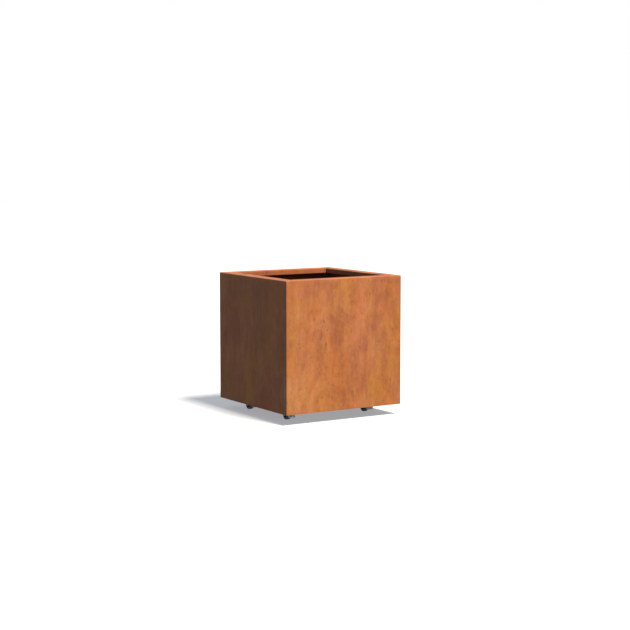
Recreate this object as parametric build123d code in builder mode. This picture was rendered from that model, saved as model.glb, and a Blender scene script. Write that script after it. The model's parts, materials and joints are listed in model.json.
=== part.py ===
from build123d import *
from math import cos, radians, sin, sqrt
import os

os.makedirs("parts", exist_ok=True)

# Origin on the ground at the middle of the box, +Z up, front wall on the -Y side.

# Welded box
box_width = 600.0          # outside, along X
box_depth = 600.0          # outside, along Y
wall_height = 584.0        # lower edge of the walls to the top of the rim
ground_gap = 48.0          # ground to the lower edge of the walls
sheet = 2.0                # weathering steel sheet of the walls
bend_radius = 1.5          # inside radius of every press-brake bend
rim_width = 50.0           # wall's outside face to the lip's inside face
lip_height = 22.0          # return fold, outside height
seam_bead = 3.0            # leg of the fillet weld inside each upright corner
rim_bead = 1.5             # radius of the bead under each rim mitre
bead_inset = 1.0           # kept between a bead's end and the faces it stops at

# Floor tray, folded down at its four edges
tray_sheet = 2.0
tray_flange = 22.0         # outside height of the folded edge
tray_fit = 0.5             # gap left for welding between tray and walls
drain_radius = 10.0
drain_spacing_x = 200.0
drain_spacing_y = 380.0
stitch_leg = 2.0           # fillet weld that holds the tray to the walls
stitch_length = 40.0
stitch_count = 3           # on each wall
stitch_pitch = 200.0

# Channels welded under the tray
channel_width = 40.0
channel_height = 20.0
channel_sheet = 2.0
channel_spacing = 104.0    # between the two centre lines
channel_end_gap = 6.0      # to the tray's folded edges

# Castor: plate, kingpin and ball race
castor_inset_x = 93.0      # side wall's outside face to the kingpin
castor_inset_y = 135.0     # front or rear wall's outside face to the kingpin
castor_height = 70.0       # ground to the top of the plate
castor_swivels = {"front_left": 83.0, "front_right": 85.0, "rear_left": 88.0, "rear_right": 76.0}
pad_size_x = 76.0
pad_size_y = 76.0
pad_thickness = 4.0
plate_size = 62.0
plate_thickness = 2.5
plate_corner = 6.0
hole_spacing = 48.0        # between the plate's bolt holes, both ways
race_radius = 18.0
race_depth = 3.2
kingpin_radius = 4.0
kingpin_head_radius = 7.5
kingpin_head = 2.5
ball_radius = 2.0
ball_ring_radius = 12.5
ball_count = 14

# Castor: fork, wheel and axle
wheel_radius = 25.0
trail = 22.0               # kingpin axis to the axle
tyre_width = 20.0
tyre_shoulder = 3.0
tyre_thickness = 7.0
rim_band = 2.5
rim_band_width = 18.0
web_width = 5.0
hub_radius = 7.5
hub_width = 21.0
pocket_radius = 2.6
pocket_count = 6
fork_sheet = 2.5
fork_side_gap = 0.5        # hub's end to the fork leg
crown_radius = 19.0
crown_gap = 1.2            # plate's race ring to the fork crown
leg_back = 4.0             # kingpin axis to the leg's leading edge
leg_front = 15.0           # kingpin axis to the leg's trailing edge at the crown
axle_boss = 8.0
axle_radius = 3.0
axle_head_radius = 5.8
axle_head = 4.0
axle_nut = 5.0
axle_spare = 2.0           # thread past the nut

# Castor: brake pedal, on the leading side of the wheel
pivot_out = 17.0           # axle to the pedal's pin, back towards the kingpin
pivot_up = 24.5            # axle to the pedal's pin, upwards
pivot_boss = 5.0
pin_radius = 2.0
pin_head_radius = 3.2
pin_head = 1.2
pedal_sheet = 2.5
pedal_side_gap = 0.4       # fork leg to the pedal's ear
ear_sheet = 2.0
tread_start_out = 10.5     # pin to the start of the foot plate
tread_start_up = 0.5
tread_end_out = 33.0       # pin to the foot plate's nose
tread_end_down = 21.0
nose_out = 36.0
nose_down = 32.5
shoe_angle = 36.0          # of the brake shoe round the axle, above level
shoe_width = 17.0
shoe_length = 11.0
shoe_depth = 11.5
shoe_gap = 0.5             # shoe to the tread of the tyre

# Fasteners and fits
bolt_radius = 3.0
bolt_head = 4.0
hex_corner = 5.8           # half the width across the corners
washer_radius = 6.0
washer_thickness = 1.6
nut_height = 5.0
bolt_spare = 2.0           # thread past the nut
bolt_clearance = 0.3
running_clearance = 0.05   # radial, of every turning fit
ball_clearance = 0.3       # between a ball and both of its grooves
face_clearance = 0.3       # between faces that turn over each other

# Heights above the ground
rim_top = ground_gap + wall_height
plate_under = castor_height - plate_thickness
race_under = plate_under - race_depth
crown_top = race_under - crown_gap
crown_under = crown_top - fork_sheet
ball_level = (race_under + crown_top) / 2
tray_under = castor_height + pad_thickness
tray_top = tray_under + tray_sheet

# Widths worked out from the values above
tray_width = box_width - 2 * (sheet + tray_fit)
tray_depth = box_depth - 2 * (sheet + tray_fit)
fork_inside = hub_width / 2 + fork_side_gap
fork_outside = fork_inside + fork_sheet
ear_inside = fork_outside + pedal_side_gap
ear_outside = ear_inside + ear_sheet
castor_x = box_width / 2 - castor_inset_x
castor_y = box_depth / 2 - castor_inset_y
castor_centres = {
    "front_left": (-castor_x, -castor_y),
    "front_right": (castor_x, -castor_y),
    "rear_left": (-castor_x, castor_y),
    "rear_right": (castor_x, castor_y),
}
axle_centre = (trail, wheel_radius)
pivot_centre = (trail - pivot_out, wheel_radius + pivot_up)

up = Vector(0, 0, 1)
side_runs = {
    "front_wall": (Vector(0, -box_depth / 2, 0), Vector(1, 0, 0), box_width),
    "right_wall": (Vector(box_width / 2, 0, 0), Vector(0, 1, 0), box_depth),
    "rear_wall": (Vector(0, box_depth / 2, 0), Vector(-1, 0, 0), box_width),
    "left_wall": (Vector(-box_width / 2, 0, 0), Vector(0, -1, 0), box_depth),
}
box_corners = [(i * box_width / 2, j * box_depth / 2) for i in (-1, 1) for j in (-1, 1)]


def save(piece, name):
    piece.part.label = name
    export_step(piece.part, f"parts/{name}.step")


def section_plane(middle, run, length):
    # Upright plane at the start of a wall: x points into the box, y up, normal along the wall.
    return Plane(origin=middle - run * (length / 2), x_dir=up.cross(run), z_dir=run)


# Walls: each is one sheet folded twice at the rim and mitred at its two ends.
for wall_name, (middle, run, length) in side_runs.items():
    inward = up.cross(run)
    with BuildPart() as wall:
        with BuildSketch(section_plane(middle, run, length)):
            with BuildLine():
                FilletPolyline(
                    (0, ground_gap),
                    (0, rim_top),
                    (rim_width, rim_top),
                    (rim_width, rim_top - lip_height),
                    radius=bend_radius + sheet,
                )
                offset(amount=sheet, side=Side.RIGHT)
            make_face()
        extrude(amount=length)
        for end in (-1, 1):
            corner = middle + run * (end * length / 2)
            split(bisect_by=Plane(origin=corner, z_dir=inward + run * end), keep=Keep.BOTTOM)
    save(wall, wall_name)

# Fillet welds inside the four upright corners, from the tray to the rim
with BuildPart() as corner_welds:
    with BuildSketch(Plane.XY.offset(tray_top)):
        for x, y in box_corners:
            along_x = -1 if x > 0 else 1
            along_y = -1 if y > 0 else 1
            inner_x = x + along_x * sheet
            inner_y = y + along_y * sheet
            with BuildLine():
                Polyline(
                    (inner_x, inner_y),
                    (inner_x + along_x * seam_bead, inner_y),
                    (inner_x, inner_y + along_y * seam_bead),
                    close=True,
                )
            make_face()
    extrude(amount=rim_top - sheet - bend_radius - tray_top)
save(corner_welds, "corner_welds")

# Half-round beads under the rim's mitres, from the upright corner to the lip
with BuildPart() as rim_welds:
    for x, y in box_corners:
        away = Vector(-x / abs(x), -y / abs(y), 0) / sqrt(2)
        start = (sheet + seam_bead + bead_inset) * sqrt(2)
        finish = (rim_width - sheet - rim_bead - bead_inset) * sqrt(2)
        origin = Vector(x, y, rim_top - sheet) + away * start
        with BuildSketch(Plane(origin=origin, x_dir=up.cross(away), z_dir=away)):
            Circle(rim_bead)
            split(bisect_by=Plane.XZ, keep=Keep.TOP)
        extrude(amount=finish - start)
save(rim_welds, "rim_welds")

# Floor tray with its drain holes and the holes for the castor bolts
with BuildPart() as floor_tray:
    with BuildSketch(Plane.XY.offset(tray_top)):
        Rectangle(tray_width, tray_depth)
    extrude(amount=-tray_flange)
    fillet(floor_tray.faces().sort_by(Axis.Z)[-1].edges(), radius=bend_radius + tray_sheet)
    with BuildSketch(Plane.XY.offset(tray_top - tray_flange)):
        Rectangle(tray_width - 2 * tray_sheet, tray_depth - 2 * tray_sheet)
    extrude(amount=tray_flange - tray_sheet, mode=Mode.SUBTRACT)
    with BuildSketch(Plane.XY.offset(tray_under)):
        Circle(drain_radius)
        with GridLocations(drain_spacing_x, drain_spacing_y, 2, 2):
            Circle(drain_radius)
        with Locations(*castor_centres.values()):
            with GridLocations(hole_spacing, hole_spacing, 2, 2):
                Circle(bolt_radius + bolt_clearance)
    extrude(amount=tray_sheet, mode=Mode.SUBTRACT)
save(floor_tray, "floor_tray")

# Stitch welds between the tray's folded edges and the walls
with BuildPart() as tray_welds:
    for middle, run, length in side_runs.values():
        for index in range(stitch_count):
            shift = (index - (stitch_count - 1) / 2) * stitch_pitch - stitch_length / 2
            with BuildSketch(section_plane(middle + run * shift, run, 0)):
                with BuildLine():
                    Polyline(
                        (sheet, tray_top - tray_flange),
                        (sheet + tray_fit + stitch_leg, tray_top - tray_flange),
                        (sheet, tray_top - tray_flange - stitch_leg),
                        close=True,
                    )
                make_face()
            extrude(amount=stitch_length)
save(tray_welds, "tray_welds")

# Two channels that stiffen the floor, open side up against it
for channel_name, channel_y in (("front_channel", -channel_spacing / 2), ("rear_channel", channel_spacing / 2)):
    channel_length = tray_width - 2 * (tray_sheet + channel_end_gap)
    with BuildPart() as channel:
        with BuildSketch(Plane(origin=(-channel_length / 2, channel_y, 0), x_dir=(0, 1, 0), z_dir=(1, 0, 0))):
            with BuildLine():
                FilletPolyline(
                    (-channel_width / 2, tray_under),
                    (-channel_width / 2, tray_under - channel_height),
                    (channel_width / 2, tray_under - channel_height),
                    (channel_width / 2, tray_under),
                    radius=bend_radius + channel_sheet,
                )
                offset(amount=channel_sheet, side=Side.LEFT)
            make_face()
        extrude(amount=channel_length)
    save(channel, channel_name)

# Welded pads that carry the castors
with BuildPart() as castor_pads:
    with BuildSketch(Plane.XY.offset(castor_height)):
        with Locations(*castor_centres.values()):
            RectangleRounded(pad_size_x, pad_size_y, plate_corner)
            with GridLocations(hole_spacing, hole_spacing, 2, 2):
                Circle(bolt_radius + bolt_clearance, mode=Mode.SUBTRACT)
    extrude(amount=pad_thickness)
save(castor_pads, "castor_pads")


def make_fasteners(name, bands):
    # The same stack of rings and hexagons at every castor bolt, each from its level up or down.
    with BuildPart() as fasteners:
        for level, height, radius, sides, bore in bands:
            with BuildSketch(Plane.XY.offset(level)):
                with Locations(*castor_centres.values()):
                    with GridLocations(hole_spacing, hole_spacing, 2, 2):
                        if sides:
                            RegularPolygon(radius, sides)
                        else:
                            Circle(radius)
                        if bore:
                            Circle(bore, mode=Mode.SUBTRACT)
            extrude(amount=height)
    save(fasteners, name)


# Castor bolts with their washers and nuts on the inside of the tray
washer_top = tray_top + washer_thickness
bolt_length = washer_top + nut_height + bolt_spare - plate_under
make_fasteners(
    "castor_bolts",
    [(plate_under, -bolt_head, hex_corner, 6, 0), (plate_under, bolt_length, bolt_radius, 0, 0)],
)
make_fasteners("castor_washers", [(tray_top, washer_thickness, washer_radius, 0, bolt_radius + bolt_clearance)])
make_fasteners("castor_nuts", [(washer_top, nut_height, hex_corner, 6, bolt_radius)])


def side_plane(frame, across):
    # Upright plane beside the wheel: x along the trail, y up, normal towards the frame's -Y.
    return Plane(origin=frame.from_local_coords((0, across, 0)), x_dir=frame.x_dir, z_dir=-frame.y_dir)


def make_castor(corner_name, centre, swivel):
    # The plate stays square to the box; the rest turns with the fork.
    fixed = Plane(origin=(*centre, 0))
    turned = Plane(origin=(*centre, 0), x_dir=(cos(radians(swivel)), sin(radians(swivel)), 0))
    kingpin_axis = Axis(origin=fixed.origin, direction=(0, 0, 1))

    with BuildPart() as plate:
        with BuildSketch(fixed.offset(plate_under)):
            RectangleRounded(plate_size, plate_size, plate_corner)
            with GridLocations(hole_spacing, hole_spacing, 2, 2):
                Circle(bolt_radius + bolt_clearance, mode=Mode.SUBTRACT)
        extrude(amount=plate_thickness)
        with BuildSketch(fixed.offset(plate_under)):
            Circle(race_radius)
        extrude(amount=-race_depth)
        with BuildSketch(side_plane(fixed, 0)):
            with Locations((ball_ring_radius, ball_level)):
                Circle(ball_radius + ball_clearance)
        revolve(axis=kingpin_axis, mode=Mode.SUBTRACT)
        with BuildSketch(fixed.offset(castor_height)):
            Circle(kingpin_radius)
        extrude(amount=-castor_height, mode=Mode.SUBTRACT)
    save(plate, f"{corner_name}_plate")

    with BuildPart() as kingpin:
        with BuildSketch(fixed.offset(crown_under - face_clearance)):
            Circle(kingpin_head_radius)
        extrude(amount=-kingpin_head)
        with BuildSketch(fixed.offset(crown_under - face_clearance)):
            Circle(kingpin_radius)
        extrude(amount=castor_height - crown_under + face_clearance)
        chamfer(kingpin.faces().sort_by(Axis.Z)[0].edges(), length=kingpin_head / 3)
    save(kingpin, f"{corner_name}_kingpin")

    with BuildPart(fixed.offset(ball_level)) as balls:
        with PolarLocations(ball_ring_radius, ball_count):
            Sphere(ball_radius)
    save(balls, f"{corner_name}_race_balls")

    with BuildPart() as fork:
        with BuildSketch(turned.offset(crown_top)):
            Circle(crown_radius)
        extrude(amount=-fork_sheet)
        with BuildSketch(turned.offset(crown_top)):
            with Locations(((leg_front - leg_back) / 2, 0)):
                Rectangle(leg_front + leg_back, 2 * fork_outside)
        extrude(amount=-fork_sheet)
        for leg_face in (fork_outside, -fork_inside):
            with BuildSketch(side_plane(turned, leg_face)):
                with Locations(((leg_front - leg_back) / 2, crown_top - fork_sheet / 2)):
                    Rectangle(leg_front + leg_back, fork_sheet)
                with Locations(axle_centre):
                    Circle(axle_boss)
                with Locations(pivot_centre):
                    Circle(pivot_boss)
                make_hull()
            extrude(amount=fork_sheet)
        with BuildSketch(side_plane(turned, fork_outside)):
            with Locations(axle_centre):
                Circle(axle_radius)
            with Locations(pivot_centre):
                Circle(pin_radius)
        extrude(amount=2 * fork_outside, mode=Mode.SUBTRACT)
        with BuildSketch(turned.offset(crown_top)):
            Circle(kingpin_radius + running_clearance)
        extrude(amount=-fork_sheet, mode=Mode.SUBTRACT)
        with BuildSketch(side_plane(turned, 0)):
            with Locations((ball_ring_radius, ball_level)):
                Circle(ball_radius + ball_clearance)
        revolve(axis=kingpin_axis, mode=Mode.SUBTRACT)
    save(fork, f"{corner_name}_fork")

    with BuildPart() as axle:
        with BuildSketch(side_plane(turned, -fork_outside)):
            with Locations(axle_centre):
                RegularPolygon(axle_head_radius, 6)
        extrude(amount=axle_head)
        with BuildSketch(side_plane(turned, fork_outside + axle_nut + axle_spare)):
            with Locations(axle_centre):
                Circle(axle_radius)
        extrude(amount=2 * fork_outside + axle_nut + axle_spare)
    save(axle, f"{corner_name}_axle_bolt")

    with BuildPart() as nut:
        with BuildSketch(side_plane(turned, fork_outside + axle_nut)):
            with Locations(axle_centre):
                RegularPolygon(axle_head_radius, 6)
                Circle(axle_radius, mode=Mode.SUBTRACT)
        extrude(amount=axle_nut)
    save(nut, f"{corner_name}_axle_nut")

    # Wheel sections: x across the wheel, y outwards from the axle.
    hub_centre = turned.from_local_coords((trail, 0, wheel_radius))
    wheel_section = Plane(origin=hub_centre, x_dir=turned.y_dir, z_dir=turned.x_dir)
    axle_axis = Axis(origin=hub_centre, direction=turned.y_dir)
    core_radius = wheel_radius - tyre_thickness
    bore_radius = axle_radius + running_clearance

    with BuildPart() as hub:
        with BuildSketch(wheel_section):
            with Locations((0, (bore_radius + hub_radius) / 2)):
                Rectangle(hub_width, hub_radius - bore_radius)
            with Locations((0, (hub_radius + core_radius) / 2)):
                Rectangle(web_width, core_radius - hub_radius)
            with Locations((0, core_radius - rim_band / 2)):
                Rectangle(rim_band_width, rim_band)
        revolve(axis=axle_axis)
        with BuildSketch(side_plane(turned, web_width / 2)):
            with Locations(axle_centre):
                with PolarLocations((hub_radius + core_radius - rim_band) / 2, pocket_count):
                    Circle(pocket_radius)
        extrude(amount=web_width, mode=Mode.SUBTRACT)
    save(hub, f"{corner_name}_wheel_hub")

    with BuildPart() as tyre:
        with BuildSketch(wheel_section) as tread:
            with Locations((0, wheel_radius - tyre_thickness / 2)):
                Rectangle(tyre_width, tyre_thickness)
            fillet(tread.vertices().group_by(Axis.Z)[-1], radius=tyre_shoulder)
        revolve(axis=axle_axis)
    save(tyre, f"{corner_name}_wheel_tyre")

    with BuildPart() as pin:
        with BuildSketch(side_plane(turned, ear_outside)):
            with Locations(pivot_centre):
                Circle(pin_radius)
        extrude(amount=2 * ear_outside)
        for head_face in (ear_outside + face_clearance + pin_head, -ear_outside - face_clearance):
            with BuildSketch(side_plane(turned, head_face)):
                with Locations(pivot_centre):
                    Circle(pin_head_radius)
            extrude(amount=pin_head)
        with BuildSketch(side_plane(turned, ear_outside + face_clearance)):
            with Locations(pivot_centre):
                Circle(pin_radius)
        extrude(amount=2 * (ear_outside + face_clearance))
    save(pin, f"{corner_name}_pedal_pin")

    pivot_x, pivot_z = pivot_centre
    tread_start = (pivot_x - tread_start_out, pivot_z + tread_start_up)
    tread_end = (pivot_x - tread_end_out, pivot_z - tread_end_down)
    with BuildPart() as pedal:
        with BuildSketch(side_plane(turned, ear_outside)):
            with BuildLine():
                Polyline(tread_start, tread_end, (pivot_x - nose_out, pivot_z - nose_down))
            trace(line_width=pedal_sheet)
        extrude(amount=2 * ear_outside)
        for ear_face in (ear_outside, -ear_inside):
            with BuildSketch(side_plane(turned, ear_face)):
                with Locations(pivot_centre):
                    Circle(pivot_boss)
                with Locations(tread_start):
                    Circle(pedal_sheet / 2)
                with Locations(tread_end):
                    Circle(pedal_sheet / 2)
                make_hull()
                with Locations(pivot_centre):
                    Circle(pin_radius + running_clearance, mode=Mode.SUBTRACT)
            extrude(amount=ear_sheet)
        with BuildSketch(side_plane(turned, shoe_width / 2)):
            with Locations(axle_centre):
                with PolarLocations(wheel_radius + shoe_depth / 2, 1, start_angle=180 - shoe_angle):
                    Rectangle(shoe_depth, shoe_length)
                Circle(wheel_radius + shoe_gap, mode=Mode.SUBTRACT)
        extrude(amount=shoe_width)
    save(pedal, f"{corner_name}_brake_pedal")


for corner_name, centre in castor_centres.items():
    make_castor(corner_name, centre, castor_swivels[corner_name])
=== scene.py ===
import json
import math

import bmesh
import bpy
from mathutils import Matrix, Vector, noise


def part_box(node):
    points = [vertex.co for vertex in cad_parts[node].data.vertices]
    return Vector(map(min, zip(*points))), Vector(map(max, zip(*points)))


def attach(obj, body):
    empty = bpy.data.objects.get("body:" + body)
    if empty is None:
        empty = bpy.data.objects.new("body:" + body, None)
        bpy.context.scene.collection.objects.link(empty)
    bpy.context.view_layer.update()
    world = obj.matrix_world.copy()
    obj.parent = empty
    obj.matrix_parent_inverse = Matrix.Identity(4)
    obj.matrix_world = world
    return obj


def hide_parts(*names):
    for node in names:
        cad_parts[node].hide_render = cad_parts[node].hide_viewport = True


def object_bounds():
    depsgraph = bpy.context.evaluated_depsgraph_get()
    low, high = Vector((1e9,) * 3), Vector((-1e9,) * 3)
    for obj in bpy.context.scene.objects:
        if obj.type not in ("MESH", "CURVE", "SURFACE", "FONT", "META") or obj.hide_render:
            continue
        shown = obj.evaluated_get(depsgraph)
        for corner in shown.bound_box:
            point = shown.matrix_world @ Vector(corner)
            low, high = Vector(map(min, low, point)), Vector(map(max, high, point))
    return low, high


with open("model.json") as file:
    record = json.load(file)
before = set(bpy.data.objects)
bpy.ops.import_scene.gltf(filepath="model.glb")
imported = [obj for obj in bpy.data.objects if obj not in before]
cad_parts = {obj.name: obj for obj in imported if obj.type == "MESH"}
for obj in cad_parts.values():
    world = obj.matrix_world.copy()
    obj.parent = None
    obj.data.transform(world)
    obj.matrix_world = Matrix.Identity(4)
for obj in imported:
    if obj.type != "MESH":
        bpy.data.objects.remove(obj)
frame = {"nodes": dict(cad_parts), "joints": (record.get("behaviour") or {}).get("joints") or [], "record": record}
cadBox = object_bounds()
nodes = frame["nodes"]
joints = {joint["name"]: joint for joint in frame["joints"]}
corners = ("front_left", "front_right", "rear_left", "rear_right")
zUp = Vector((0, 0, 1))
mm = 0.001
print("frame loaded:", len(nodes), "nodes")


def slotOf(node):
    return next(part["material_slot"] for part in frame["record"]["subparts"] if part["node"] == node)


def camel(node):
    first, *rest = node.split("_")
    return first + "".join(word.capitalize() for word in rest)


def meshFrom(name, points, faces):
    mesh = bpy.data.meshes.new(name)
    mesh.from_pydata([tuple(p) for p in points], [], faces)
    mesh.update()
    return mesh


def tidyNormals(mesh, merge=1e-6):
    work = bmesh.new()
    work.from_mesh(mesh)
    bmesh.ops.remove_doubles(work, verts=work.verts, dist=merge)
    bmesh.ops.recalc_face_normals(work, faces=work.faces)
    work.to_mesh(mesh)
    work.free()
    return mesh


def softShade(mesh, angle=35):
    mesh.shade_smooth()
    mesh.set_sharp_from_angle(angle=math.radians(angle))
    return mesh


def joinMeshes(name, meshes):
    work = bmesh.new()
    for mesh in meshes:
        work.from_mesh(mesh)
    joined = bpy.data.meshes.new(name)
    work.to_mesh(joined)
    work.free()
    return joined


def addPiece(node, mesh, body, material):
    # the detailed mesh that stands in for one CAD node
    mesh.materials.clear()
    mesh.materials.append(material)
    piece = bpy.data.objects.new(camel(node), mesh)
    bpy.context.scene.collection.objects.link(piece)
    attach(piece, body)
    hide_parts(node)


def lathe(name, outline, steps=48, axis="Z"):
    # outline: (radius, height) points turned round the axis; radius 0 closes an end
    points, faces, rings = [], [], []
    for radius, height in outline:
        if radius < 1e-7:
            rings.append([len(points)])
            points.append(Vector((0, 0, height)))
            continue
        rings.append(range(len(points), len(points) + steps))
        for i in range(steps):
            turn = 2 * math.pi * i / steps
            points.append(Vector((radius * math.cos(turn), radius * math.sin(turn), height)))
    for low, high in zip(rings, rings[1:]):
        for i in range(steps):
            j = (i + 1) % steps
            if len(low) == 1 and len(high) > 1:
                faces.append((low[0], high[j], high[i]))
            elif len(high) == 1 and len(low) > 1:
                faces.append((low[i], low[j], high[0]))
            elif len(low) > 1:
                faces.append((low[i], low[j], high[j], high[i]))
    if axis == "Y":
        points = [Vector((p.x, p.z, -p.y)) for p in points]
    return tidyNormals(meshFrom(name, points, faces))


def arcPoints(centre, radius, start, end, steps):
    # points on an arc, angles in degrees
    turns = [math.radians(start + (end - start) * i / steps) for i in range(steps + 1)]
    return [(centre[0] + radius * math.cos(t), centre[1] + radius * math.sin(t)) for t in turns]


def cutSheet(name, outline, holes, thickness, edge, steps=1):
    # flat plate lying in XY with its middle at z 0, cut outside and inside, edges broken
    curve = bpy.data.curves.new(name, "CURVE")
    curve.dimensions = "2D"
    curve.fill_mode = "BOTH"
    curve.extrude = thickness / 2 - edge
    curve.bevel_depth = edge
    curve.bevel_resolution = steps
    curve.offset = -edge
    for loop in [outline] + list(holes):
        spline = curve.splines.new("POLY")
        spline.points.add(len(loop) - 1)
        for point, (x, y) in zip(spline.points, loop):
            point.co = (x, y, 0, 1)
        spline.use_cyclic_u = True
    holder = bpy.data.objects.new(name, curve)
    bpy.context.scene.collection.objects.link(holder)
    graph = bpy.context.evaluated_depsgraph_get()
    mesh = bpy.data.meshes.new_from_object(holder.evaluated_get(graph))
    bpy.data.objects.remove(holder)
    bpy.data.curves.remove(curve)
    mesh.name = name
    return tidyNormals(mesh, 1e-5)


def roundedLoop(sizeX, sizeY, radius, steps=6):
    loop = []
    for i, (sx, sy) in enumerate(((1, 1), (-1, 1), (-1, -1), (1, -1))):
        centre = (sx * (sizeX / 2 - radius), sy * (sizeY / 2 - radius))
        loop += arcPoints(centre, radius, 90 * i, 90 * i + 90, steps)
    return loop


def circleLoop(radius, centre=(0, 0), steps=24):
    return arcPoints(centre, radius, 0, 360 - 360 / steps, steps - 1)


def hullLoop(circles, steps=40):
    # convex outline round several circles (x, y, radius)
    turns = [2 * math.pi * i / steps for i in range(steps)]
    rims = [(x + r * math.cos(t), y + r * math.sin(t)) for x, y, r in circles for t in turns]
    points = sorted(set((round(x, 7), round(y, 7)) for x, y in rims))
    def half(order):
        chain = []
        for p in order:
            while len(chain) > 1 and (
                (chain[-1][0] - chain[-2][0]) * (p[1] - chain[-2][1])
                - (chain[-1][1] - chain[-2][1]) * (p[0] - chain[-2][0])
            ) <= 0:
                chain.pop()
            chain.append(p)
        return chain[:-1]
    return half(points) + half(points[::-1])


def sidePlate(name, outline, holes, middle, thickness, edge):
    # plate standing in XZ: the outline's second number is its height
    mesh = cutSheet(name, outline, holes, thickness, edge)
    mesh.transform(Matrix.Translation((0, middle, 0)) @ Matrix.Rotation(math.radians(90), 4, "X"))
    return mesh


def ribbonLoop(path, width, steps=6):
    # outline of a strip that follows a path, with round ends
    half = width / 2
    left, right = [], []
    for i, point in enumerate(path):
        ahead, behind = path[min(i + 1, len(path) - 1)], path[max(i - 1, 0)]
        run = Vector((ahead[0] - behind[0], ahead[1] - behind[1])).normalized()
        left.append((point[0] - run.y * half, point[1] + run.x * half))
        right.append((point[0] + run.y * half, point[1] - run.x * half))
    def cap(end, before):
        facing = math.degrees(math.atan2(end[1] - before[1], end[0] - before[0]))
        return arcPoints(end, half, facing - 90, facing + 90, steps)[1:-1]
    return right + cap(path[-1], path[-2]) + left[::-1] + cap(path[0], path[1])


def bentPath(start, bend, finish, radius, steps=6):
    # two straight runs joined by an arc
    a, b, c = Vector(start), Vector(bend), Vector(finish)
    back, on = (a - b).normalized(), (c - b).normalized()
    half = back.angle(on) / 2
    reach = radius / math.tan(half)
    centre = b + (back + on).normalized() * (radius / math.sin(half))
    first, last = b + back * reach - centre, b + on * reach - centre
    sweep = first.angle_signed(last)
    points = [centre + Matrix.Rotation(-sweep * i / steps, 2) @ first for i in range(steps + 1)]
    return [start] + [tuple(p) for p in points] + [finish]


def hexHead(name, corner, height, crown=0.94, steps=24):
    # hexagon with its top corners turned off to a cone, standing on z 0
    apothem = corner * math.cos(math.pi / 6)
    points, faces = [], []
    for level in range(3):
        for i in range(steps):
            turn = 2 * math.pi * i / steps
            reach = apothem / math.cos((turn + math.pi / 6) % (math.pi / 3) - math.pi / 6)
            if level == 2:
                reach = apothem * crown
            drop = max(0, reach - apothem * crown) * 0.55 if level else 0
            points.append((reach * math.cos(turn), reach * math.sin(turn), (height - drop) if level else 0))
    for level in range(2):
        below, above = level * steps, (level + 1) * steps
        for i in range(steps):
            j = (i + 1) % steps
            faces.append((below + i, below + j, above + j, above + i))
    faces.append(tuple(range(steps))[::-1])
    faces.append(tuple(range(2 * steps, 3 * steps)))
    return tidyNormals(meshFrom(name, points, faces))


def threadedRod(name, radius, low, high, threadFrom, pitch, steps=16):
    # plain shank, then rings of thread up to a chamfered end
    outline = [(0, low), (radius, low), (radius, threadFrom)]
    count = max(1, int((high - threadFrom - pitch) / pitch))
    for i in range(count):
        level = threadFrom + i * pitch
        outline += [(radius * 0.86, level + pitch * 0.35), (radius, level + pitch * 0.85)]
    outline += [(radius * 0.80, high), (0, high)]
    return lathe(name, outline, steps)


def startTree(name, inputs):
    # node tree with its own named inputs; hands back the tree, the inputs' sockets and the output node
    tree = bpy.data.node_groups.new(name, "GeometryNodeTree")
    tree.interface.new_socket("Geometry", in_out="INPUT", socket_type="NodeSocketGeometry")
    for label, kind in inputs:
        tree.interface.new_socket(label, in_out="INPUT", socket_type="NodeSocket" + kind)
    tree.interface.new_socket("Geometry", in_out="OUTPUT", socket_type="NodeSocketGeometry")
    return tree, tree.nodes.new("NodeGroupInput").outputs, tree.nodes.new("NodeGroupOutput")


def step(tree, kind, links=None, **settings):
    # one node, its settings and what goes into its sockets
    node = tree.nodes.new(kind)
    for label, value in settings.items():
        setattr(node, label, value)
    for label, value in (links or {}).items():
        socket = node.inputs[label]
        if isinstance(value, bpy.types.NodeSocket):
            tree.links.new(value, socket)
        else:
            socket.default_value = value
    return node


def endTree(tree, out, geometry, finish, smooth=True):
    real = step(tree, "GeometryNodeRealizeInstances", {"Geometry": geometry}).outputs[0]
    shaded = step(tree, "GeometryNodeSetShadeSmooth", {"Geometry": real, "Shade Smooth": smooth}).outputs[0]
    done = step(tree, "GeometryNodeSetMaterial", {"Geometry": shaded, "Material": finish}).outputs[0]
    tree.links.new(done, out.inputs[0])
    return tree


def grown(name, base, tree, values):
    # the tree's result on a base mesh, as a plain mesh
    holder = bpy.data.objects.new(name, base)
    bpy.context.scene.collection.objects.link(holder)
    modifier = holder.modifiers.new(name, "NODES")
    modifier.node_group = tree
    for item in tree.interface.items_tree:
        if item.in_out == "INPUT" and item.name in values:
            modifier[item.identifier] = values[item.name]
    graph = bpy.context.evaluated_depsgraph_get()
    mesh = bpy.data.meshes.new_from_object(holder.evaluated_get(graph))
    mesh.name = name
    bpy.data.objects.remove(holder)
    return mesh


def startMaterial(name):
    material = bpy.data.materials.new(name)
    material.use_nodes = True
    tree = material.node_tree
    place = tree.nodes.new("ShaderNodeTexCoord").outputs["Object"]
    return material, tree, tree.nodes["Principled BSDF"], place


def feed(tree, socket, value):
    if isinstance(value, bpy.types.NodeSocket):
        tree.links.new(value, socket)
    elif isinstance(value, (tuple, list)) and len(value) == 3 and socket.type == "RGBA":
        socket.default_value = (*value, 1)
    else:
        socket.default_value = value


def mapped(tree, place, stretch=(1, 1, 1), shift=(0, 0, 0)):
    node = tree.nodes.new("ShaderNodeMapping")
    tree.links.new(place, node.inputs["Vector"])
    node.inputs["Scale"].default_value = stretch
    node.inputs["Location"].default_value = shift
    return node.outputs["Vector"]


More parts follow.
